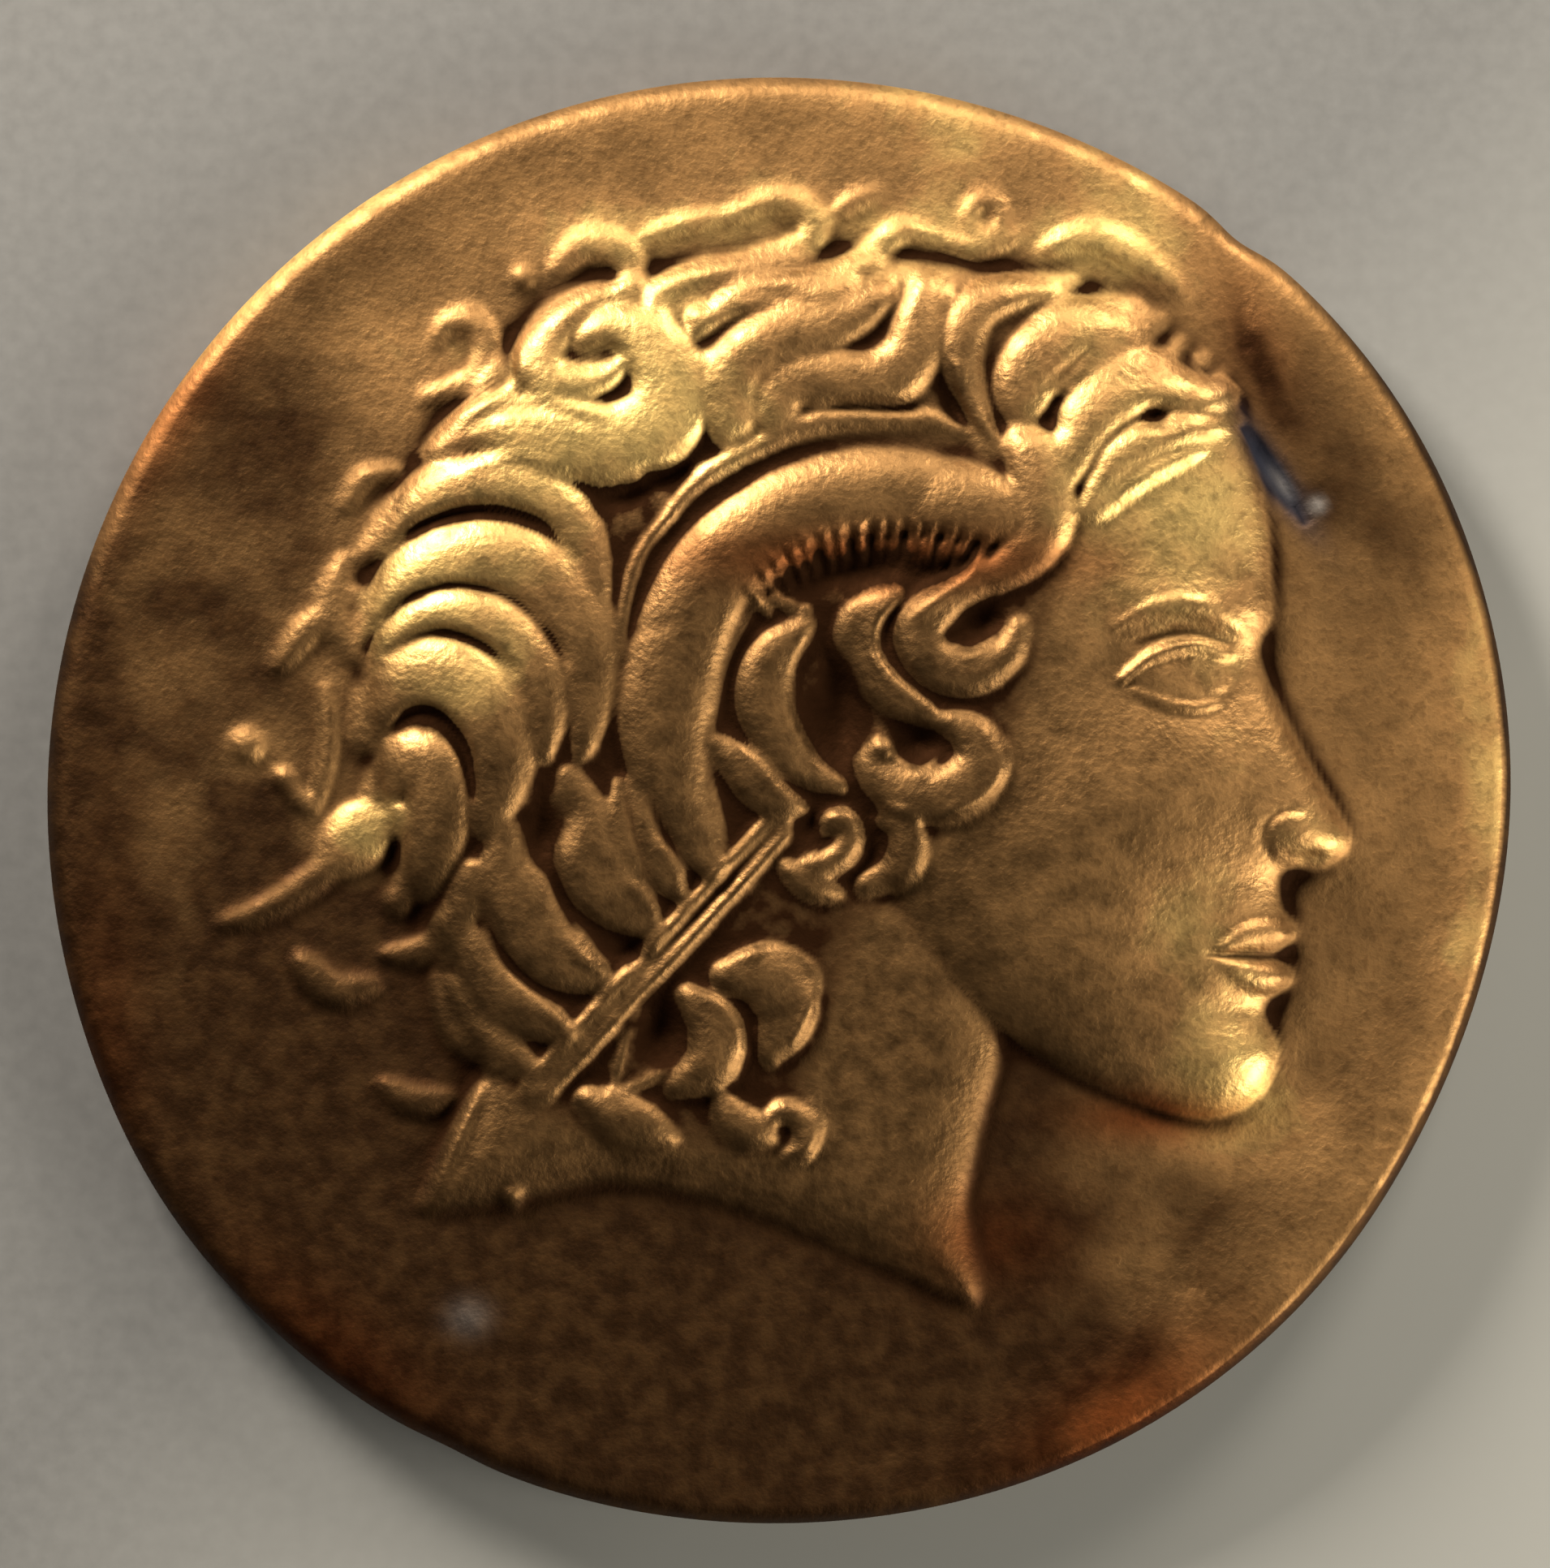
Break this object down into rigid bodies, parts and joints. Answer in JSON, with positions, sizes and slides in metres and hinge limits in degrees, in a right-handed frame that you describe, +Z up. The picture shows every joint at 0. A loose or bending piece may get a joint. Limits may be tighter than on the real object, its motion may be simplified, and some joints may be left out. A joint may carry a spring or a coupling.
{
  "type": "ancient coin",
  "caption": "Round struck gold coin with a curly-haired head in high relief and a plain horse and wheel on the dished underside.",
  "frame": {"origin": "middle of the coin's footprint, on the plane that its underside rests on", "axes": "+Z up through the coin's thickness with the head side up, +X the way the head looks, +Y towards its crown"},
  "size_m": [0.0212, 0.0208, 0.002],
  "materials": {
    "gold": "worn alloyed gold, matt in the hollows, brighter on the high points, with brown and coppery toning"
  },
  "bodies": {
    "root": {"coin": "gold"}
  },
  "joints": []
}
